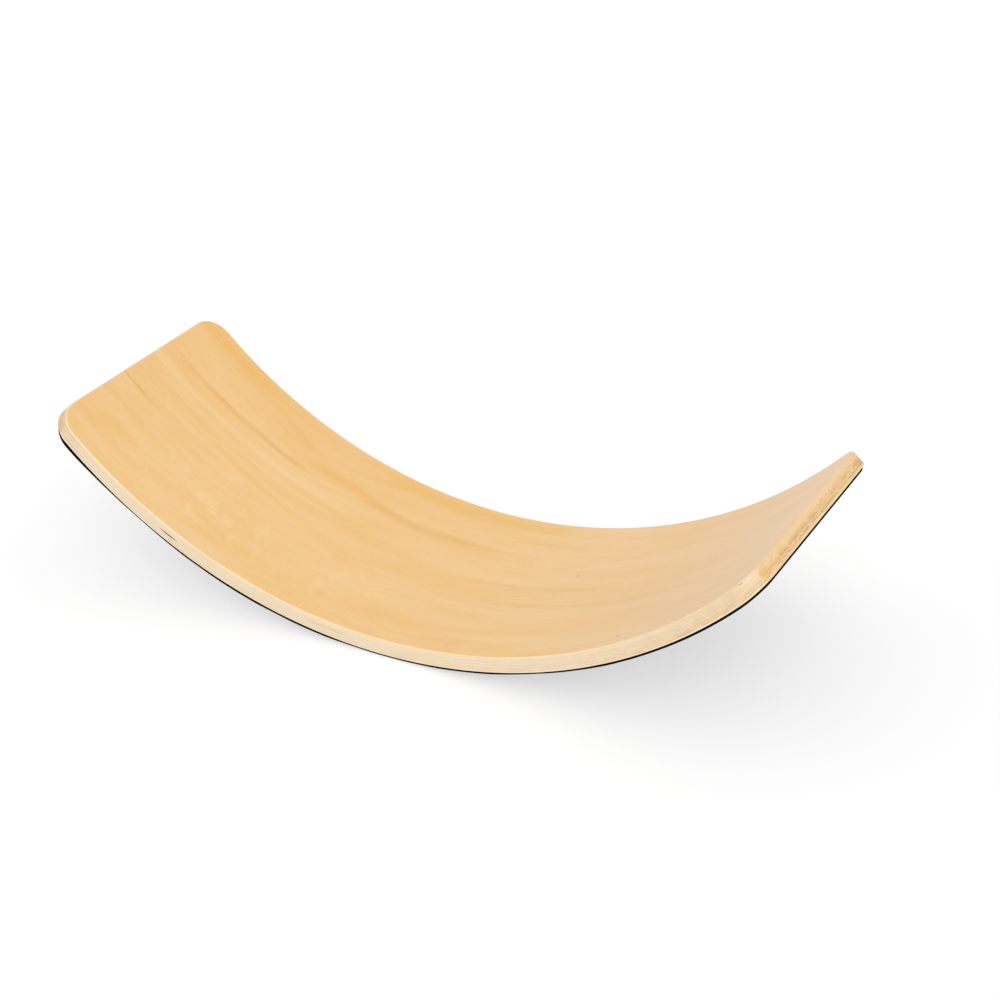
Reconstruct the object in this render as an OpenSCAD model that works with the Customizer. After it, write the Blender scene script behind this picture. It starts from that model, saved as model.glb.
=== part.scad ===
// Curved balance board: a rocker pressed from glued wood veneers over a round mould,
// trimmed to rounded corners and covered underneath with one sheet of felt.
// The origin lies on the floor under the middle of the board, with X along its length,
// Y across its width and Z up. The bend axis runs along Y, above the board.

/* [Board] */
// Overall length, from tip to tip
board_l = 830; // [650:1:1000]
// Width of the board, along the bend axis
board_w = 290; // [200:1:400]
// Overall height, from the floor to the tips
board_h = 200; // [140:1:260]
// Radius of the four rounded corners
corner_r = 30; // [10:1:70]
// Radius of the rounded arrises where the top face meets the edges
arris_r = 2.5; // [1:0.1:3]
// Radius of the sharper arrises where the bottom face meets the edges
bottom_arris_r = 0.8; // [0.5:0.1:1.5]

/* [Veneers] */
// Thickness of one veneer after pressing
ply_t = 1.65; // [1.5:0.05:2.2]

/* [Felt] */
// Thickness of the felt sheet under the board
felt_t = 2.4; // [2:0.1:5]
// Thickness of the glue film that holds the felt
glue_t = 0.2; // [0.1:0.05:0.5]
// Bare margin between a long edge of the board and the felt
felt_side_margin = 1; // [0.8:0.1:8]
// Bare margin between an end of the board and the felt
felt_end_margin = 6; // [4:0.1:15]

/* [Hidden] */
$fa = 1;
$fs = 0.5;

// The grain of each veneer lies across its neighbours, so the count is odd and both faces run lengthwise
CROSS_PLIES = 5;
LONG_PLIES = CROSS_PLIES - 1;
plies = CROSS_PLIES + LONG_PLIES + 2;
board_t = plies * ply_t;
// From the floor to the outer face of the wood
under_t = felt_t + glue_t;

// Outer radius of the wood that puts the rounded tip of the outer face at half the length, for a half angle a
function radius_for(a) =
    let (reach = (board_l / 2 - bottom_arris_r + bottom_arris_r * cos(a)) / sin(a))
    bottom_arris_r + sqrt(bottom_arris_r * bottom_arris_r + reach * reach);

// Half angle that puts the rounded tip of the inner face at the full height, for an outer radius r
function angle_for(r) =
    let (tip_r = r - board_t + arris_r)
    acos((under_t + r + arris_r - board_h) / tip_r) + asin(arris_r / tip_r);

// Both conditions at once, by repeating one after the other until they settle
function settled_angle(a, rounds) =
    rounds == 0 ? a : settled_angle(angle_for(radius_for(a)), rounds - 1);

bend_a = settled_angle(45, 60);
bend_r = radius_for(bend_a);
inner_r = bend_r - board_t;
axis_z = under_t + bend_r;
felt_a = bend_a - felt_end_margin / bend_r * 180 / PI;

// Width of the flat that eases an arris of radius r round the corners, as far in as the rounding comes
function ease_for(r) = 0.76 * r;

// How far a cutting shape reaches past the wood
cut_over = 12;
// How far a rounding cut stands out past the faces it joins, so that it crosses them and does not just touch
hair = 0.02;

FACE = [0.95, 0.79, 0.59];
LONG_EDGE = [0.94, 0.85, 0.71];
CROSS_EDGE = [0.87, 0.72, 0.52];
FELT = [0.11, 0.10, 0.09];

// Sweeps a section about the bend axis: section x is the radius, section y runs across the board
module bent(half_angle)
    translate([0, 0, axis_z])
        rotate([90, 0, 0])
            rotate([0, 0, -90 - half_angle])
                rotate_extrude(angle = 2 * half_angle)
                    children();

// Both ends of the bend: local x points out of the end, local z square to the face, from the outer face of the wood
module at_both_ends(half_angle)
    for (far = [0, 1])
        mirror([far, 0, 0])
            translate([0, 0, axis_z])
                rotate([0, -half_angle, 0])
                    translate([0, 0, -bend_r])
                        children();

// Both corners of an end, at the centre of the rounding
module at_both_corners(half_w, r)
    for (far = [0, 1])
        mirror([0, far, 0])
            translate([-r, half_w - r, 0])
                children();

// What a saw takes off outside the two rounded corners of one end, square to the face there
module corner_waste(half_w, r)
    at_both_corners(half_w + hair, r)
        translate([hair, 0, -under_t - cut_over])
            linear_extrude(height = under_t + board_t + 2 * cut_over)
                difference() {
                    square(r + cut_over);
                    circle(r);
                }

// What the rounding takes off one arris of radius r along an end. face_r is the radius of the face that the arris
// belongs to, and out is 1 on the outer face and -1 on the inner face
module end_arris_waste(face_r, out, r) {
    centre_r = face_r - out * r;
    drop = sqrt(centre_r * centre_r - r * r);
    far = r + cut_over;
    translate([hair - r, board_w / 2 + cut_over, bend_r - drop - out * hair])
        rotate([90, 0, 0])
            linear_extrude(height = board_w + 2 * cut_over)
                difference() {
                    translate([0, out > 0 ? -far : 0])
                        square(far);
                    circle(r);
                }
}

// What the easing takes off the arris round the corners of one end: the outside of a cone that stands on the chord
// of the face there. face_r, out and r are as above
module corner_arris_waste(face_r, out, r) {
    leg = ease_for(r) / sqrt(2);
    climb = face_r - sqrt(face_r * face_r - corner_r * corner_r);
    past = 2 * climb;
    translate([0, 0, bend_r - face_r])
        rotate([0, atan(climb / corner_r), 0])
            at_both_corners(board_w / 2, corner_r)
                rotate_extrude(angle = 90)
                    polygon([
                        [corner_r - leg - past, -out * past],
                        [corner_r + cut_over, -out * past],
                        [corner_r + cut_over, out * (leg + cut_over)]
                    ]);
}

// Section of the whole board, with its four long arrises rounded
module board_section() {
    body_t = board_t - arris_r - bottom_arris_r;
    translate([inner_r + arris_r, -board_w / 2])
        square([body_t, board_w]);
    translate([inner_r, -board_w / 2 + arris_r])
        square([arris_r + body_t, board_w - 2 * arris_r]);
    translate([inner_r + arris_r, -board_w / 2 + bottom_arris_r])
        square([body_t + bottom_arris_r, board_w - 2 * bottom_arris_r]);
    for (side = [-1, 1]) {
        translate([inner_r + arris_r, side * (board_w / 2 - arris_r)])
            circle(arris_r);
        translate([bend_r - bottom_arris_r, side * (board_w / 2 - bottom_arris_r)])
            circle(bottom_arris_r);
    }
}

// Section of one veneer, cut from the section of the board where the rounded arrises reach it
module veneer_section(index, in_arris) {
    top_r = inner_r + index * ply_t;
    above = index == 0 ? cut_over : 0;
    below = index == plies - 1 ? cut_over : 0;
    if (in_arris)
        intersection() {
            board_section();
            translate([top_r - above, -board_w / 2 - cut_over])
                square([above + ply_t + below, board_w + 2 * cut_over]);
        }
    else
        translate([top_r, -board_w / 2])
            square([ply_t, board_w]);
}

// One veneer of the pressed board, counted from 0 at the top face
module veneer(index) {
    in_top_arris = index * ply_t < arris_r;
    in_bottom_arris = (plies - 1 - index) * ply_t < bottom_arris_r;
    difference() {
        bent(bend_a)
            veneer_section(index, in_top_arris || in_bottom_arris);
        at_both_ends(bend_a) {
            corner_waste(board_w / 2, corner_r);
            if (in_top_arris) {
                end_arris_waste(inner_r, -1, arris_r);
                corner_arris_waste(inner_r, -1, arris_r);
            }
            if (in_bottom_arris) {
                end_arris_waste(bend_r, 1, bottom_arris_r);
                corner_arris_waste(bend_r, 1, bottom_arris_r);
            }
        }
    }
}

// The face that is stood on, with its grain along the board
module top_face_veneer()
    color(FACE)
        veneer(0);

// Inner veneers with their grain across the board: they show end grain on the long edges
module cross_ply(number)
    color(CROSS_EDGE)
        veneer(2 * number - 1);

// Inner veneers with their grain along the board
module long_ply(number)
    color(LONG_EDGE)
        veneer(2 * number);

// The face that the felt is glued to
module bottom_face_veneer()
    color(FACE)
        veneer(plies - 1);

// One sheet of felt, glued under the bottom face and trimmed nearly flush with the long edges
module felt_cover() {
    felt_half_w = board_w / 2 - felt_side_margin;
    color(FELT)
        difference() {
            bent(felt_a)
                translate([bend_r + glue_t, -felt_half_w])
                    square([felt_t, 2 * felt_half_w]);
            at_both_ends(felt_a)
                corner_waste(felt_half_w, corner_r - felt_side_margin);
        }
}

top_face_veneer();
for (number = [1 : CROSS_PLIES])
    cross_ply(number);
for (number = [1 : LONG_PLIES])
    long_ply(number);
bottom_face_veneer();
felt_cover();
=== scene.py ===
from math import acos, asin, cos, pi, radians, sin, sqrt

import bpy
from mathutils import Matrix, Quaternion, Vector


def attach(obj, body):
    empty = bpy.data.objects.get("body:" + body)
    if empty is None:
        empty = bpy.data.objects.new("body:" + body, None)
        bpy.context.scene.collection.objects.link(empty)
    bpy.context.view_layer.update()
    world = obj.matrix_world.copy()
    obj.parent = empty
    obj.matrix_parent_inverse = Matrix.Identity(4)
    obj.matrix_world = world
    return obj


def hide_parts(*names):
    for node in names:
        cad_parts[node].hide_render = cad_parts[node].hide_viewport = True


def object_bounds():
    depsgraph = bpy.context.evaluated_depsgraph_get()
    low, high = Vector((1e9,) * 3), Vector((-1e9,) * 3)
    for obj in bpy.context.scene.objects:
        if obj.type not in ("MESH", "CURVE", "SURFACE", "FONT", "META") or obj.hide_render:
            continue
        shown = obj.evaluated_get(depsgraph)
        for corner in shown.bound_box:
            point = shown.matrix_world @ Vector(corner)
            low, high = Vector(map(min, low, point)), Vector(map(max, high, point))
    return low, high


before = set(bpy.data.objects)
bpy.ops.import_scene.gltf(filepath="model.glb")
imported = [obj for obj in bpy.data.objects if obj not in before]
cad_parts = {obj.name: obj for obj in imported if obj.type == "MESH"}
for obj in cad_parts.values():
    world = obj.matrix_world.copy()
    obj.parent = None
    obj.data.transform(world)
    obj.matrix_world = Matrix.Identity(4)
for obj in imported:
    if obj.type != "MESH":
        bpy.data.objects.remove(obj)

cad_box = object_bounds()

# The pressed blank
# Eleven veneers are glued crosswise, pressed to a round bend over a mould and trimmed to one outline.
# The blank is modelled flat, so that each veneer can be cut from it, and each veneer is bent afterwards.
millimetre = 0.001
board_length = cad_box[1].x - cad_box[0].x
board_width = cad_box[1].y - cad_box[0].y
board_height = cad_box[1].z - cad_box[0].z
veneers = 11
veneer_thickness = 1.65 * millimetre
board_thickness = veneers * veneer_thickness
felt_thickness = 2.4 * millimetre
glue_thickness = 0.2 * millimetre
under_board = felt_thickness + glue_thickness
corner_radius = 30 * millimetre
corner_steps = 24
top_arris = 2.5 * millimetre
top_arris_steps = 6
bottom_arris = 0.8 * millimetre
bottom_arris_steps = 3
face_ring = 1.2 * millimetre
slices = 140
smoothing_angle = radians(35)
nearly_zero = 1e-6
straight_on = 0.999

# The half angle and the outer radius of the bend bring the rounded tips of both faces to the length and
# the height of the frame. Each follows from the other, in rounds that settle
first_guess = radians(45)
settling_rounds = 60
half_angle = first_guess
for _ in range(settling_rounds):
    reach = (board_length / 2 - bottom_arris + bottom_arris * cos(half_angle)) / sin(half_angle)
    bend_radius = bottom_arris + sqrt(bottom_arris ** 2 + reach ** 2)
    tip_radius = bend_radius - board_thickness + top_arris
    tip_drop = under_board + bend_radius + top_arris - board_height
    half_angle = acos(tip_drop / tip_radius) + asin(top_arris / tip_radius)
blank_length = 2 * half_angle * bend_radius


def pick(piece, kind, wanted):
    """Leaves the piece in edit mode with only those edges or faces selected that are wanted."""
    bpy.ops.object.mode_set(mode="EDIT")
    bpy.ops.mesh.select_mode(type=kind)
    bpy.ops.mesh.select_all(action="DESELECT")
    bpy.ops.object.mode_set(mode="OBJECT")
    if kind == "EDGE":
        places = [vertex.co for vertex in piece.data.vertices]
        for edge in piece.data.edges:
            start, end = edge.vertices
            edge.select = wanted(places[start], places[end])
    else:
        for face in piece.data.polygons:
            face.select = wanted(face.center, face.normal)
    bpy.ops.object.mode_set(mode="EDIT")


def cut(place, normal, **options):
    """Cuts the whole mesh that is being edited with a plane."""
    bpy.ops.mesh.select_all(action="SELECT")
    bpy.ops.mesh.bisect(plane_co=place, plane_no=normal, threshold=nearly_zero, **options)


bpy.ops.object.select_all(action="DESELECT")
bpy.ops.mesh.primitive_cube_add(
    size=1,
    location=(0, board_thickness / 2, 0),
    scale=(blank_length, board_thickness, board_width),
)
blank = bpy.context.object
blank.name = "blank"
bpy.ops.object.transform_apply(location=True, rotation=True, scale=True)
pick(blank, "EDGE", lambda start, end: abs(start.y - end.y) > nearly_zero)
bpy.ops.mesh.bevel(offset=corner_radius, segments=corner_steps, profile=0.5, affect="EDGES")
pick(blank, "EDGE", lambda start, end: min(start.y, end.y) > board_thickness - nearly_zero)
bpy.ops.mesh.bevel(offset=top_arris, segments=top_arris_steps, profile=0.5, affect="EDGES")
pick(blank, "EDGE", lambda start, end: max(start.y, end.y) < nearly_zero)
bpy.ops.mesh.bevel(offset=bottom_arris, segments=bottom_arris_steps, profile=0.5, affect="EDGES")
pick(blank, "FACE", lambda centre, normal: abs(normal.y) > straight_on)
bpy.ops.mesh.inset(thickness=face_ring)
bpy.ops.object.mode_set(mode="OBJECT")


def only(piece):
    """Makes one object the selected and active one."""
    bpy.ops.object.select_all(action="DESELECT")
    piece.select_set(True)
    bpy.context.view_layer.objects.active = piece


def slice_along(length, count):
    """Cuts the mesh that is being edited across its length, so that it can bend."""
    for number in range(1, count):
        cut(((number / count - 0.5) * length, 0, 0), (1, 0, 0))


def press(piece):
    """Keeps each point's flat place for the grain, then bends the piece to the curve of the board."""
    bpy.ops.object.mode_set(mode="OBJECT")
    flat = piece.data.attributes.new("flat", "FLOAT_VECTOR", "POINT")
    for vertex, kept in zip(piece.data.vertices, flat.data):
        kept.vector = (vertex.co.x, -vertex.co.z, vertex.co.y)
    ends = [vertex.co.x for vertex in piece.data.vertices]
    bend = piece.modifiers.new("bend", "SIMPLE_DEFORM")
    bend.deform_method = "BEND"
    bend.deform_axis = "Z"
    bend.angle = (max(ends) - min(ends)) / bend_radius
    only(piece)
    bpy.ops.object.modifier_apply(modifier=bend.name)
    piece.rotation_euler.x = pi / 2
    piece.location.z = under_board
    bpy.ops.object.transform_apply(location=True, rotation=True, scale=True)
    bpy.ops.object.shade_smooth_by_angle(angle=smoothing_angle)


def cut_veneer(name, index):
    """Cuts one veneer, counted from 0 at the top, from a copy of the blank and leaves it in edit mode."""
    only(blank)
    bpy.ops.object.duplicate()
    piece = bpy.context.object
    piece.name = name
    top = board_thickness - index * veneer_thickness
    bpy.ops.object.mode_set(mode="EDIT")
    if index > 0:
        cut((0, top, 0), (0, 1, 0), use_fill=True, clear_outer=True)
    if index < veneers - 1:
        cut((0, top - veneer_thickness, 0), (0, 1, 0), use_fill=True, clear_inner=True)
    slice_along(blank_length, slices)
    return piece


# The two face veneers
# Pale rotary-cut leaves with the grain along the board, sanded and finished with a clear satin lacquer.
# The upper one is stood on; the lower one carries the felt and shows only at its edges.


class Wire:
    """A shader socket that takes part in sums like a number."""

    def __init__(self, tree, socket=None):
        self.tree = tree
        self.socket = socket

    def node(self, kind, settings=(), inputs=(), output=0):
        """Adds a node of any kind, sets it up, feeds its sockets and gives back one of its outputs."""
        made = self.tree.nodes.new(kind)
        for name, value in dict(settings).items():
            setattr(made, name, value)
        for name, value in dict(inputs).items():
            if isinstance(value, Wire):
                self.tree.links.new(value.socket, made.inputs[name])
            else:
                made.inputs[name].default_value = value
        return Wire(self.tree, made.outputs[output])

    def other(self, output):
        """Another output of the same node."""
        return Wire(self.tree, self.socket.node.outputs[output])

    def math(self, operation, *values):
        """This value and any others through one maths node."""
        return self.node("ShaderNodeMath", {"operation": operation}, enumerate((self, *values)))

    def __add__(self, value):
        return self.math("ADD", value)

    def __sub__(self, value):
        return self.math("SUBTRACT", value)

    def __mul__(self, value):
        return self.math("MULTIPLY", value)

    def __truediv__(self, value):
        return self.math("DIVIDE", value)

    def __abs__(self):
        return self.math("ABSOLUTE")

    def __rsub__(self, value):
        return self * -1 + value

    __radd__ = __add__
    __rmul__ = __mul__

    def rise(self, low, high):
        """0 up to low and 1 from high on, with a soft step between them. With low above high it falls."""
        inputs = {"Value": self, "From Min": low, "From Max": high}
        return self.node("ShaderNodeMapRange", {"interpolation_type": "SMOOTHSTEP"}, inputs)

    def mix(self, under, over):
        """One colour laid over another where this value is 1."""
        return self.node("ShaderNodeMix", {"data_type": "RGBA"}, {0: self, 6: under, 7: over}, 2)


def shade(red, green, blue):
    """A colour given as in a paint program, from 0 to 255, as light."""
    shares = [part / 255 for part in (red, green, blue)]
    light = [((part + 0.055) / 1.055) ** 2.4 for part in shares]
    return (*light, 1)


def begin(name):
    """A new material: itself, its surface shader and the flat place on the piece in millimetres."""
    material = bpy.data.materials.new(name)
    material.use_nodes = True
    tree = material.node_tree
    surface = tree.nodes["Principled BSDF"]
    flat = Wire(tree).node("ShaderNodeAttribute", {"attribute_name": "flat"}, output="Vector")
    along = flat.node("ShaderNodeSeparateXYZ", {}, {0: flat})
    scale = 1 / millimetre
    return material, surface, (along * scale, along.other("Y") * scale, along.other("Z") * scale)


def figure(place, size, detail):
    """Noise with features of about the given sizes in millimetres along, across and through the wood."""
    along, across, up = place
    scaled = {"X": along / size[0], "Y": across / size[1], "Z": up / size[2]}
    vector = along.node("ShaderNodeCombineXYZ", {}, scaled)
    inputs = {"Vector": vector, "Scale": 1, "Detail": detail}
    return vector.node("ShaderNodeTexNoise", {}, inputs, "Fac")


def feed(surface, socket, wire):
    """Feeds one input of a surface shader."""
    wire.tree.links.new(wire.socket, surface.inputs[socket])


pale_wood = shade(240, 200, 140)
warm_wood = shade(237, 191, 121)
golden_wood = shade(234, 180, 86)
streak_wood = shade(224, 161, 64)
pore_wood = shade(186, 134, 82)
fleck_wood = shade(247, 217, 168)
rosy_wood = shade(243, 198, 148)
# A painted reflection: the greyish rosy look of the surroundings in the lacquer towards the right end
painted_reflection_tint = shade(215, 181, 157)
edge_pale = shade(240, 222, 192)
# Partly the pale wood of the bottom leaf, partly a painted highlight on its downward-facing edge
pale_edge_with_painted_highlight = shade(250, 237, 214)
edge_warm = shade(240, 216, 181)
edge_late = shade(229, 203, 164)
edge_glue = shade(196, 156, 112)
end_pale = shade(243, 209, 157)
end_tan = shade(224, 189, 146)
end_dark = shade(240, 200, 138)
end_amber = shade(226, 178, 108)
end_pore = shade(210, 160, 99)
end_speck = shade(172, 113, 60)
# The materials count in millimetres
half_length = blank_length / 2 / millimetre
half_width = board_width / 2 / millimetre
corner_reach = corner_radius / millimetre


def spot(place, centre, reach):
    """A soft oval spot, 1 in its middle and 0 past its reach, both given along, across and up."""
    along, across, up = [abs(part - middle) / far for part, middle, far in zip(place, centre, reach)]
    return (along * along + across * across + up * up).rise(1, 0.2)


def edge_place(along, across):
    """How far an edge faces an end and not a side, and how near it is to a corner, both from 0 to 1."""
    to_end = abs(along) - half_length + corner_reach
    to_side = abs(across) - half_width + corner_reach
    into_end = to_end.math("MAXIMUM", 0)
    into_side = to_side.math("MAXIMUM", 0)
    never_zero = 0.01
    facing_end = into_end * into_end / (into_end * into_end + into_side * into_side + never_zero)
    # End grain starts early and softly on the left corners, and late, at a clear line, on the right ones
    rightness = along / half_length
    starts = 0.42 + rightness * 0.38
    full = 0.6 + rightness * 0.32
    facing_end = ((facing_end - starts) / (full - starts)).rise(0, 1)
    near_corner = to_end.rise(-50, 10) * to_side.rise(-10, 10)
    return facing_end, near_corner


def edge_marks(wood, place, torn):
    """The larger marks of the sawn edges, each where the real board has it."""
    # An amber patch starts the end grain at the right front corner
    wood = (spot(place, (half_length, -122, 9), (40, 8, 7)) * 0.5).mix(wood, end_amber)
    # Brown specks lie at the right back corner, and a broken dark line behind the middle of that end
    specks = spot(place, (half_length, 112, 7), (30, 14, 4)) * torn
    broken = figure(place, (7, 7, 7), 1.0).rise(0.4, 0.5)
    broken_line = spot(place, (half_length, 32, 11.5), (30, 26, 0.6)) * broken
    wood = (specks * 0.8 + broken_line * 0.5).mix(wood, end_speck)
    # A faint brown smudge lies left of the middle of the front edge, and a dark nick at its right end
    wood = (spot(place, (-72, -half_width, 10), (34, 10, 1.5)) * 0.35).mix(wood, end_pore)
    return (spot(place, (453, -half_width + 5, 16), (3, 8, 0.9)) * 0.55).mix(wood, end_speck)


def edge_wood(place, index, on_sides, on_ends, end_tint=end_pale, side_tint=edge_pale):
    """Colour of a sawn edge. on_sides and on_ends say how strongly dark, open grain shows there."""
    along, across, up = place
    facing_end, near_corner = edge_place(along, across)
    on_left = along.rise(100, -100)
    # Each leaf takes its own figure from far apart in the noise
    own_place = (along, across, up + index * 50)
    # Closed grain is pale and streaky. At the left end it tans, the lower leaves more
    streaks = figure(own_place, (70, 70, 0.5), 3.0).rise(0.42, 0.75)
    tanned = on_left * min(index / 4, 1)
    end_wood = tanned.mix(on_left.mix(end_tint, side_tint), end_tan)
    # The lowest leaves darken further at the left end: painted shade where the board turns under
    end_wood = (on_left * max(index / 10 - 0.5, 0)).mix(end_wood, edge_glue)
    pores = figure(own_place, (1.6, 1.6, 0.6), 3.0)
    clouds = figure(place, (16, 16, 5), 3.0)
    end_wood = (pores.rise(0.45, 0.7) * clouds.rise(0.3, 0.6) * 0.4).mix(end_wood, end_amber)
    closed = facing_end.mix(streaks.mix(side_tint, edge_late), end_wood)
    # Open grain is darker, with pores and torn specks
    opened = (pores * 0.75 + clouds * 0.6).rise(0.57, 0.86).mix(end_dark, end_pore)
    opened = (pores.rise(0.58, 0.66) * clouds.rise(0.48, 0.6) * 0.6).mix(opened, end_speck)
    torn = figure(own_place, (5, 5, 0.9), 2.0).rise(0.54, 0.66)
    opened = (torn * clouds.rise(0.35, 0.55) * 0.65).mix(opened, end_speck)
    # It shows more on the sides towards the right end, but not on the bottom leaf
    toasted = along.rise(150, 400) * (0 if index == veneers - 1 else 0.12 + index * 0.03)
    share = on_sides + toasted * (1 - facing_end) + facing_end * (on_ends - on_sides)
    wood = (share * clouds.rise(0.1, 0.45)).mix(closed, opened)
    # A brown glue line shows here and there between two leaves. Near the corners each third joint is open
    middle = (board_thickness - (index + 0.5) * veneer_thickness) / millimetre
    half_leaf = veneer_thickness / 2 / millimetre
    rim = abs(up - middle).rise(half_leaf - 0.35, half_leaf)
    glued = figure(place, (55, 55, 2.5), 1.0).rise(0.42, 0.62)
    wood = (rim * (glued + near_corner) * 0.2).mix(wood, edge_glue)
    for joint in (index, index + 1):
        if joint % 3 == 2:
            level = (board_thickness - joint * veneer_thickness) / millimetre
            open_joint = abs(up - level).rise(0.55, 0.2) * near_corner * (0.12 + on_left * 0.53)
            wood = open_joint.mix(wood, end_speck)
    dashes = figure(place, (12, 12, 0.9), 2.0).rise(0.54, 0.64)
    wood = (rim * dashes * facing_end * 0.5).mix(wood, end_speck)
    return edge_marks(wood, place, torn)


def face_figure(along, across):
    """Plain figure of a rotary-cut face: its colour, and its fine fibres as a value."""
    sway = (figure((along, across, 0), (300, 80, 1), 1.0) - 0.5) * 40
    grain = across + sway
    tone = figure((along, grain, 0), (200, 34, 1), 3.0)
    wood = tone.rise(0.3, 0.7).mix(pale_wood, warm_wood)
    bands = figure((along + 900, grain, 0), (150, 10, 1), 3.0)
    wood = (bands.rise(0.5, 0.75) * 0.25).mix(wood, golden_wood)
    # Flame figure: the leaf was peeled round the log, so its year rings run out in long loops
    flames = (grain / 9 + figure((along, across, 0), (190, 40, 1), 1.0) * 50).math("SINE")
    flamed = figure((along, across + 500, 0), (200, 60, 1), 1.0).rise(0.4, 0.65)
    wood = (flames.rise(0, 1) * flamed * 0.14).mix(wood, golden_wood)
    clouds = figure((along, grain + 350, 0), (38, 15, 1), 3.0)
    wood = (clouds.rise(0.45, 0.7) * 0.35).mix(wood, rosy_wood)
    # Fine strands come and go over the face
    lively = figure((along + 70, across + 260, 0), (120, 40, 1), 1.0).rise(0.35, 0.65)
    strands = figure((along + 400, grain, 0), (42, 2, 1), 3.0)
    wood = (strands.rise(0.5, 0.75) * lively * 0.24).mix(wood, golden_wood)
    pale_strands = figure((along + 1300, grain, 0), (55, 2.6, 1), 3.0)
    wood = (pale_strands.rise(0.52, 0.75) * (1.2 - lively) * 0.25).mix(wood, fleck_wood)
    fibres = figure((along, grain, 0), (50, 0.7, 1), 3.0)
    wood = (fibres.rise(0.48, 0.8) * 0.2).mix(wood, golden_wood)
    pores = figure((along, grain, 0), (9, 0.3, 1), 1.0)
    wood = (pores.rise(0.6, 0.74) * 0.28).mix(wood, pore_wood)
    return wood, fibres


def streaked(wood, along, bands):
    """Lays soft bands of other tints along the grain. Each band has the distance from its middle line, its
    start and end along the board, its half width, its strength and its tint."""
    fade = 25
    for off_line, start, end, half_band, strength, tint in bands:
        ends = along.rise(start - fade, start + fade) * along.rise(end + fade, end - fade)
        broken = figure((along, off_line, 0), (60, 1.6, 1), 2.0).rise(0.2, 0.6)
        wood = (abs(off_line).rise(half_band, 0) * ends * broken * strength).mix(wood, tint)
    return wood


def top_marks(wood, along, across):
    """The larger marks of the face that is stood on, each where the real leaf has it."""
    wander = across + (figure((along, across, 0), (60, 12, 1), 3.0) - 0.5) * 7
    wood = streaked(wood, along, [
        # Orange streaks follow one another along the back half, the middle one higher than the others
        (wander - 59, -500, -360, 4, 0.35, streak_wood),
        (wander - 59, -390, -245, 6, 0.55, streak_wood),
        (wander - 77 + along.rise(-190, -130) * 8, -245, -130, 14, 0.8, golden_wood),
        (wander - 63 - along.rise(-90, -160) * 8, -150, -10, 11, 0.55, streak_wood),
        (wander - 64, -40, 80, 7, 0.4, golden_wood),
        # Shorter ones run in from the left end and through the middle
        (wander + 25, -500, -420, 3, 0.8, streak_wood),
        (wander + 8 + (along + 270) * 0.1, -335, -200, 7, 0.5, golden_wood),
        (wander + 1, 10, 190, 6, 0.25, streak_wood),
        (wander + 38, 50, 310, 8, 0.25, streak_wood),
        (wander + 103 - along * 0.05, -40, 170, 14, 0.4, golden_wood),
        # Straight pale grain runs in from the left end beside them
        (wander - 35, -500, -190, 9, 0.26, fleck_wood),
        (wander - 18, -440, -170, 8, 0.2, fleck_wood),
    ])
    # The leaf is a little deeper in colour left of its middle; towards its right end lies a greyish
    # painted reflection
    deeper = along.rise(-260, -120) * along.rise(60, -40)
    wood = (deeper * 0.09).mix(wood, golden_wood)
    wood = (along.rise(180, 400) * 0.22).mix(wood, painted_reflection_tint)
    # Golden sapwood lies along the back edge
    sapwood = along.rise(150, -60) * wander.rise(60, 130)
    wood = (sapwood * 0.22).mix(wood, golden_wood)
    wood = streaked(wood, along, [
        (wander - 128, -500, -340, 18, 0.7, golden_wood),
        (wander - 103 + (along + 280) * 0.25, -310, -245, 9, 0.5, golden_wood),
        (wander - 113 - (along + 165) * 0.25, -195, -140, 9, 0.5, golden_wood),
        (wander - 128, -165, 80, 18, 0.7, golden_wood),
        # A golden patch lies near the left front corner
        (wander + 92, -440, -400, 16, 0.5, golden_wood),
    ])
    # Pale chevron flecks stand across the grain in the left front quarter
    slant = (wander + 200).math("PINGPONG", 14) * 0.8
    flecks = figure((along + slant, across, 0), (12, 60, 1), 1.0).rise(0.46, 0.7)
    patches = figure((along, across + 90, 0), (34, 20, 1), 1.0).rise(0.4, 0.62)
    curly = along.rise(-400, -320) * along.rise(40, -120) * abs(across + 82).rise(66, 15)
    wood = (flecks * patches * curly * 0.3).mix(wood, fleck_wood)
    # Two small dark specks lie in the right half
    place = (along, across, along * 0)
    wood = (spot(place, (142, 30, 0), (4, 2, 1)) * 0.35).mix(wood, pore_wood)
    return (spot(place, (280, -127, 0), (3.5, 2.4, 1)) * 0.55).mix(wood, pore_wood)


def face_finish(name, index, face_level, end_tint, side_tint, marks=None):
    """A lacquered face with sawn edges. face_level is the height of the face in the board."""
    material, surface, place = begin(name)
    along, across, up = place
    # Each face takes its own figure from far apart in the noise
    wood, fibres = face_figure(along + index * 170, across)
    if marks:
        wood = marks(wood, along, across)
    # The face turns into the sawn edge where the arris falls away from it
    sawn = edge_wood(place, index, 0, 0.2, end_tint, side_tint)
    wood = abs(up - face_level).rise(0.05, 0.65).mix(wood, sawn)
    feed(surface, "Base Color", wood)
    feed(surface, "Roughness", 0.4 + fibres * 0.14)
    relief = {"Strength": 0.2, "Distance": 0.05 * millimetre, "Height": fibres}
    feed(surface, "Normal", fibres.node("ShaderNodeBump", {}, relief))
    surface.inputs["Coat Weight"].default_value = 0.35
    surface.inputs["Coat Roughness"].default_value = 0.28
    return material


top_level = board_thickness / millimetre
bottom_level = 0

top_leaf = cut_veneer("top_face_leaf", 0)
press(top_leaf)
top_finish = face_finish("top_face_wood", 0, top_level, end_pale, edge_warm, top_marks)
top_leaf.data.materials.append(top_finish)
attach(top_leaf, "root")
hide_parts("top_face_veneer")

bottom_leaf = cut_veneer("bottom_face_leaf", veneers - 1)
press(bottom_leaf)
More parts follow.
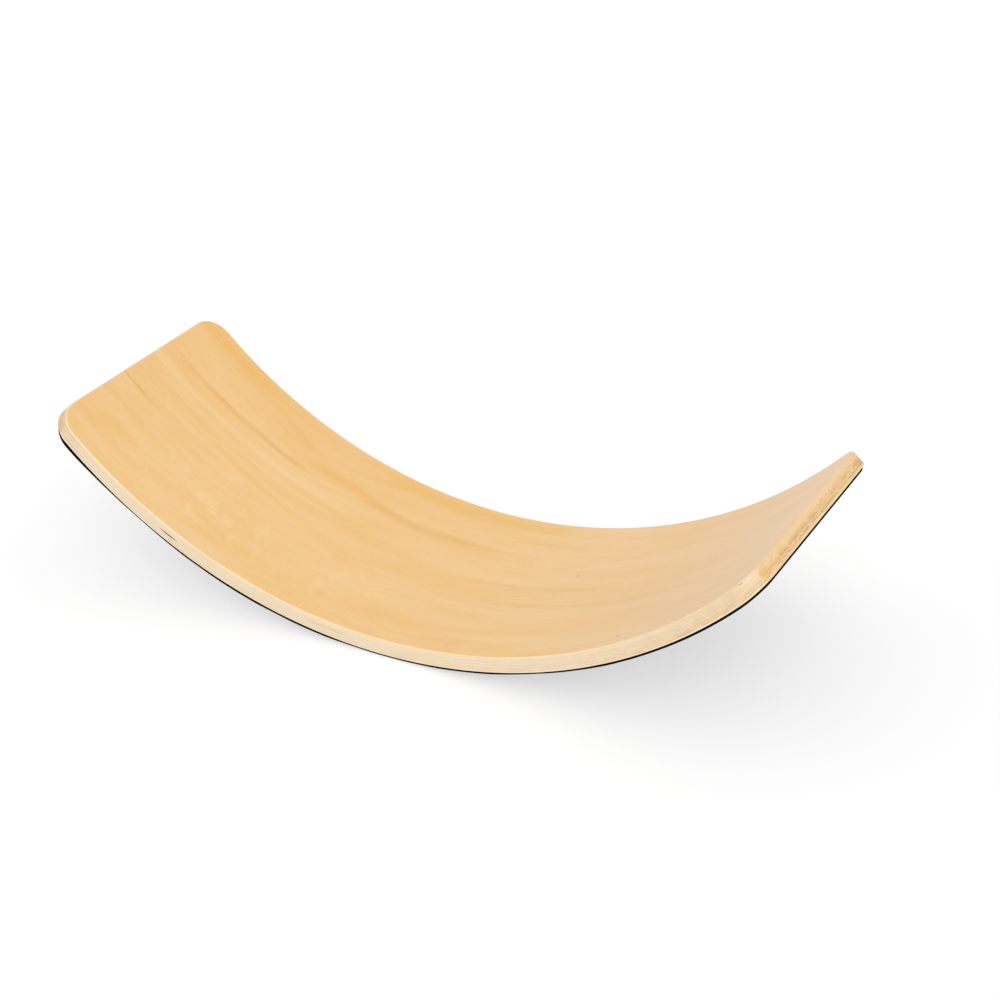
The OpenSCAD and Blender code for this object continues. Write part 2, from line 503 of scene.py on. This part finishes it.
# Its edge takes paler tints: its own pale wood, lightened further by a painted highlight against the shade
# below
bottom_finish = face_finish("bottom_face_wood", veneers - 1, bottom_level, edge_pale, pale_edge_with_painted_highlight)
bottom_leaf.data.materials.append(bottom_finish)
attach(bottom_leaf, "root")
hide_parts("bottom_face_veneer")

# The inner veneers
# Plain leaves laid crosswise in turn. The cross plies show end grain on the long edges and the long plies
# show it on the ends, so every edge of the board is banded. One core leaf falls short at the front edge
# and leaves a slit.


def edge_finish(name, index, on_sides, on_ends):
    """A sanded and lacquered edge."""
    material, surface, place = begin(name)
    feed(surface, "Base Color", edge_wood(place, index, on_sides, on_ends))
    surface.inputs["Roughness"].default_value = 0.5
    surface.inputs["Coat Weight"].default_value = 0.1
    surface.inputs["Coat Roughness"].default_value = 0.35
    return material


# The slit's walls are deep brown: partly the core wood, partly painted shade that deepens the dark inside
# the slit
gap_brown_and_painted_shade = shade(150, 78, 30)
core_gap = bpy.data.materials.new("core_gap")
core_gap.use_nodes = True
gap_surface = core_gap.node_tree.nodes["Principled BSDF"]
gap_surface.inputs["Base Color"].default_value = gap_brown_and_painted_shade
gap_surface.inputs["Roughness"].default_value = 0.8
gap_surface.inputs["Specular IOR Level"].default_value = 0.1
slit_leaf = 3
slit_start = -298 * millimetre
slit_end = -272 * millimetre
slit_middle = (slit_start + slit_end) / 2
slit_depth = 4 * millimetre
slit_lip = 0.08 * millimetre
slit_taper = 0.9
slit_floor = board_width / 2 - slit_depth
slit_level = board_thickness - (2 * slit_leaf - 0.5) * veneer_thickness


def narrow_slit(leaf, place):
    """Narrows the mouth of the slit at one place along it, the more the further it is from the middle."""

    def crosses_mouth(start, end):
        """Whether an edge stands upright across the mouth at this place."""
        upright = abs(start.y - end.y) > veneer_thickness / 2 and start.z > board_width / 2 - nearly_zero
        return upright and max(abs(start.x - place), abs(end.x - place)) < nearly_zero

    pick(leaf, "EDGE", crosses_mouth)
    from_middle = (place - slit_middle) / (slit_end - slit_middle)
    opening = 1 - slit_taper * from_middle ** 2
    bpy.ops.transform.resize(value=(1, opening, 1), center_override=(0, slit_level, 0))


def at_slit_mouth(centre, normal):
    """Whether a face of the core leaf lies in the mouth of the slit, inside its lip."""
    level = abs(centre.y - slit_level) < slit_lip
    return level and normal.z > straight_on and slit_start + slit_lip < centre.x < slit_end - slit_lip


def in_slit(centre, normal):
    """Whether a face of the core leaf is a wall or the floor of the slit."""
    inside = slit_floor - slit_lip < centre.z < board_width / 2 - slit_lip
    return inside and slit_start - slit_lip < centre.x < slit_end + slit_lip


def open_slit(leaf):
    """Opens the slit in the front edge of the core leaf, which is being edited."""
    leaf.data.materials.append(core_gap)
    cut((slit_start, 0, 0), (1, 0, 0))
    cut((slit_end, 0, 0), (1, 0, 0))
    pick(leaf, "FACE", lambda centre, normal: normal.z > straight_on and slit_start < centre.x < slit_end)
    bpy.ops.mesh.inset(thickness=slit_lip)
    narrow_slit(leaf, slit_start + slit_lip)
    narrow_slit(leaf, slit_end - slit_lip)
    for step in range(1, slices):
        place = (step / slices - 0.5) * blank_length
        if slit_start < place < slit_end:
            narrow_slit(leaf, place)
    pick(leaf, "FACE", at_slit_mouth)
    bpy.ops.mesh.extrude_region_move(TRANSFORM_OT_translate={"value": (0, 0, -slit_depth)})
    pick(leaf, "FACE", in_slit)
    leaf.active_material_index = 1
    bpy.ops.object.material_slot_assign()


cross_on_sides = (0.1, 0.13, 0.15, 0.18, 0.28)
cross_on_ends = (0.1, 0.1, 0.6, 0.4, 0.35)
for number, tones in enumerate(zip(cross_on_sides, cross_on_ends), start=1):
    index = 2 * number - 1
    leaf = cut_veneer(f"cross_leaf_{number}", index)
    leaf.data.materials.append(edge_finish(f"cross_wood_{number}", index, *tones))
    if number == slit_leaf:
        open_slit(leaf)
    press(leaf)
    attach(leaf, "root")
    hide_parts(f"cross_ply_{number}")

long_on_sides = (0, 0, 0, 0.08)
long_on_ends = (0.1, 0.45, 1, 1)
for number, tones in enumerate(zip(long_on_sides, long_on_ends), start=1):
    index = 2 * number
    leaf = cut_veneer(f"long_leaf_{number}", index)
    leaf.data.materials.append(edge_finish(f"long_wood_{number}", index, *tones))
    press(leaf)
    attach(leaf, "root")
    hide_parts(f"long_ply_{number}")

bpy.data.objects.remove(blank)

# The felt cover
# One sheet of black felt, cut a little inside the outline of the board and glued to the whole underside.
# It was cut by hand, so its edge wanders slightly. Its wool lies in darker and paler tufts.
felt_side_margin = 1 * millimetre
felt_end_margin = 6 * millimetre
felt_length = blank_length - 2 * felt_end_margin
felt_width = board_width - 2 * felt_side_margin
felt_corner = corner_radius - felt_side_margin
felt_rounding = 0.6 * millimetre
felt_rounding_steps = 3
felt_strips = 48
wander_length = 70 * millimetre
wander_strength = 2.2 * millimetre
front_strip = 6 * millimetre
front_edge = felt_width / 2 - front_strip
front_spacing = 100 * millimetre
front_grip = front_spacing / 8
front_reach = 0.6 * front_spacing
front_first = -2
front_shifts = (1.1, 0.8, -0.9, 0.5, -1.3, 0.4)
loose_from = -felt_length / 2 + 28 * millimetre
loose_shift = (-1.5, -1.2, 2.1)
loose_reach = 110 * millimetre
hanging_from = felt_length / 2 - 1 * millimetre
hanging_shift = (0.7, -0.25, 0)
hanging_reach = 30 * millimetre
# The cut edge colours are darkened as painted shade against the key light, the face colours lightened as
# painted light
edge_black_painted_darker = shade(5, 4, 4)
edge_grey_painted_darker = shade(24, 22, 20)
face_black_painted_paler = shade(19, 18, 16)
face_grey_painted_paler = shade(66, 62, 58)
wool_tuft = shade(44, 41, 38)

bpy.ops.object.select_all(action="DESELECT")
bpy.ops.mesh.primitive_cube_add(
    size=1,
    location=(0, -glue_thickness - felt_thickness / 2, 0),
    scale=(felt_length, felt_thickness, felt_width),
)
felt = bpy.context.object
felt.name = "felt_sheet"
bpy.ops.object.transform_apply(location=True, rotation=True, scale=True)
pick(felt, "EDGE", lambda start, end: abs(start.y - end.y) > nearly_zero)
bpy.ops.mesh.bevel(offset=felt_corner, segments=corner_steps, profile=0.5, affect="EDGES")
pick(felt, "EDGE", lambda start, end: abs(start.y - end.y) < nearly_zero)
bpy.ops.mesh.bevel(offset=felt_rounding, segments=felt_rounding_steps, profile=0.5, affect="EDGES")
slice_along(felt_length, slices)
for number in range(1, felt_strips):
    cut((0, 0, (number / felt_strips - 0.5) * felt_width), (0, 0, 1))
bpy.ops.object.mode_set(mode="OBJECT")
waves = bpy.data.textures.new("hand_cut", "CLOUDS")
waves.noise_scale = wander_length
hand_cut = felt.modifiers.new("hand_cut", "DISPLACE")
hand_cut.texture = waves
hand_cut.texture_coords = "LOCAL"
hand_cut.direction = "Z"
hand_cut.mid_level = 0.5
hand_cut.strength = wander_strength
bpy.ops.object.modifier_apply(modifier=hand_cut.name)


def pull(wanted, shift, reach):
    """Pulls some faces of the felt by a shift in millimetres, and draws what lies within reach along."""
    pick(felt, "FACE", wanted)
    bpy.ops.transform.translate(
        value=Vector(shift) * millimetre,
        use_proportional_edit=True,
        proportional_edit_falloff="SMOOTH",
        proportional_size=reach,
    )
    bpy.ops.object.mode_set(mode="OBJECT")


# The front edge runs out and in, its left corner has come a little loose, and the right end hangs a little
for step, shift in enumerate(front_shifts, start=front_first):
    middle = step * front_spacing
    pull(
        lambda centre, normal: centre.z > front_edge and abs(centre.x - middle) < front_grip,
        (0, 0, shift),
        front_reach,
    )
pull(lambda centre, normal: centre.z > front_edge and centre.x < loose_from, loose_shift, loose_reach)
pull(lambda centre, normal: centre.x > hanging_from, hanging_shift, hanging_reach)
press(felt)


def felt_finish():
    """Matt wool with crossed fibres and paler tufts. Its lit cut edge is darkened with painted shade, its
    dim face lightened with painted light.
    """
    material, surface, place = begin("black_felt")
    along, across, up = place
    sway = (figure(place, (9, 9, 9), 2.0) - 0.5) * 14
    lengthwise = figure((along, across + sway, up), (5, 0.5, 0.5), 2.0)
    crosswise = figure((along + sway, across, up), (0.5, 5, 0.5), 2.0)
    fibre = lengthwise.math("MAXIMUM", crosswise)
    tufts = figure(place, (14, 14, 14), 3.0)
    # The cut edge is painted shade, darker against the key light on it; the face is painted light, paler
    # for the dim underside
    edge_painted_darker = fibre.rise(0.55, 0.78).mix(edge_black_painted_darker, edge_grey_painted_darker)
    face = fibre.rise(0.5, 0.75).mix(face_black_painted_paler, face_grey_painted_paler)
    face = (tufts.rise(0.45, 0.7) * 0.45).mix(face, wool_tuft)
    face_from = -2.2
    face_full = -2.5
    on_face = up.rise(face_from, face_full)
    wool = on_face.mix(edge_painted_darker, face)
    feed(surface, "Base Color", wool)
    relief = {"Strength": 0.6, "Distance": 0.4 * millimetre, "Height": fibre}
    feed(surface, "Normal", fibre.node("ShaderNodeBump", {}, relief))
    surface.inputs["Roughness"].default_value = 0.95
    surface.inputs["Sheen Weight"].default_value = 0.01
    surface.inputs["Specular IOR Level"].default_value = 0.05
    return material


felt.data.materials.append(felt_finish())
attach(felt, "root")
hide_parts("felt_cover")
felt_middle = 1 + (glue_thickness + felt_thickness / 2) / bend_radius
felt_cut = felt_length * felt_middle
felt_width * felt_cut - (4 - pi) * felt_corner ** 2

# The floor and the light
# A plain white floor under soft, even studio light, with a faint shadow beneath the board.
# It cannot be seen from below, so that the underside shows through it.
floor_size = 14
floor_drop = 0.3 * millimetre
lamp_distance = 3

bpy.ops.object.select_all(action="DESELECT")
bpy.ops.mesh.primitive_plane_add(size=floor_size, location=(0, 0, -floor_drop))
floor = bpy.context.object
floor.name = "floor"
bpy.ops.object.transform_apply(location=True, rotation=True, scale=True)


def grey(level):
    """An even grey, as light."""
    return (level, level, level, 1)


def seen_directly(tree):
    """1 where the camera sees something, itself or as a reflection, and 0 where it only gives light."""
    rays = Wire(tree).node("ShaderNodeLightPath", output="Is Camera Ray")
    return rays.math("MAXIMUM", rays.other("Is Glossy Ray"))


paper = bpy.data.materials.new("floor_paper")
paper.use_nodes = True
paper_surface = paper.node_tree.nodes["Principled BSDF"]
paper_surface.inputs["Roughness"].default_value = 0.9
paper_surface.inputs["Specular IOR Level"].default_value = 0
paper_surface.inputs["Emission Strength"].default_value = 1
seen = seen_directly(paper.node_tree)
feed(paper_surface, "Base Color", seen.mix(grey(0.75), grey(0.45)))
feed(paper_surface, "Emission Color", seen.mix(grey(0), grey(0.58)))
feed(paper_surface, "Alpha", 1 - seen.node("ShaderNodeNewGeometry", output="Backfacing"))
floor.data.materials.append(paper)

world = bpy.data.worlds.new("studio")
bpy.context.scene.world = world
world.use_nodes = True
sky = world.node_tree.nodes["Background"]
seen = seen_directly(world.node_tree)
feed(sky, "Color", seen.mix(grey(0.785), grey(1)))


def soft_sun(name, bearing, height, spread, strength):
    """A very wide, distant lamp, as even as a bank of softboxes."""
    towards = Vector((sin(radians(bearing)) * cos(radians(height)),
                      -cos(radians(bearing)) * cos(radians(height)),
                      sin(radians(height))))
    bpy.ops.object.light_add(type="SUN", location=towards * lamp_distance)
    lamp = bpy.context.object
    lamp.name = name
    lamp.data.angle = radians(spread)
    lamp.data.energy = strength
    lamp.rotation_euler = (-towards).to_track_quat("-Z", "Y").to_euler()


soft_sun("key_light", bearing=30, height=35, spread=50, strength=1.05)
soft_sun("fill_light", bearing=-60, height=30, spread=60, strength=0.22)

# The camera
# It looks down on the board from the front right, as the photograph does.
azimuth = radians(30.0436)
elevation = radians(28.8534)
roll = radians(-2.6029)
distance = 2.2011937
target = Vector((0.0611805, 0, 0.1283299))
focal_length = 75.5674
sensor_width = 36
view_down = Vector((-sin(azimuth) * cos(elevation), cos(azimuth) * cos(elevation), -sin(elevation)))
bpy.ops.object.camera_add(location=target - view_down * distance)
camera = bpy.context.object
camera.rotation_euler = (view_down.to_track_quat("-Z", "Y") @ Quaternion((0, 0, 1), roll)).to_euler()
camera.data.lens = focal_length
camera.data.sensor_width = sensor_width
bpy.context.scene.camera = camera
bpy.context.scene.view_settings.view_transform = "Standard"
